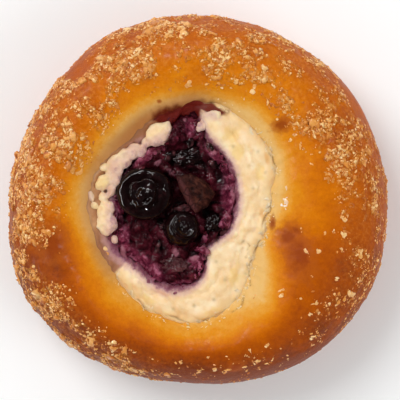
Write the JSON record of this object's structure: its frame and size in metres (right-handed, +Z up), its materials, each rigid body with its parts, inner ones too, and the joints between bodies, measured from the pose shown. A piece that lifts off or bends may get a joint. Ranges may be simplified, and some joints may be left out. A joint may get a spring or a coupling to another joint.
{
  "type": "kolache",
  "caption": "Round sweet-dough bun with a well of curd cheese and blueberry compote, and butter crumbs baked onto its crust.",
  "frame": {"origin": "under the middle of the bun, on the surface that its flat underside rests on", "axes": "+Z up, out of the well; +Y to the top of the picture and +X to its right"},
  "size_m": [0.1006, 0.0983, 0.0344],
  "materials": {
    "crust": "baked crust, golden to brown, with a faint egg-wash shine",
    "cheese": "baked curd cheese, cream and matte",
    "compote": "wet berry mash, dark purple",
    "berry_skin": "wet cooked berry skin, near black",
    "dried_skin": "dry shrivelled berry skin, brown"
  },
  "bodies": {
    "root": {"bun": "crust", "cheese": "cheese", "compote": "compote", "berry_large": "berry_skin", "berry_small": "berry_skin", "berry_split": "berry_skin", "berry_upper": "berry_skin", "berry_lower": "berry_skin", "berry_dried": "dried_skin"}
  },
  "joints": []
}
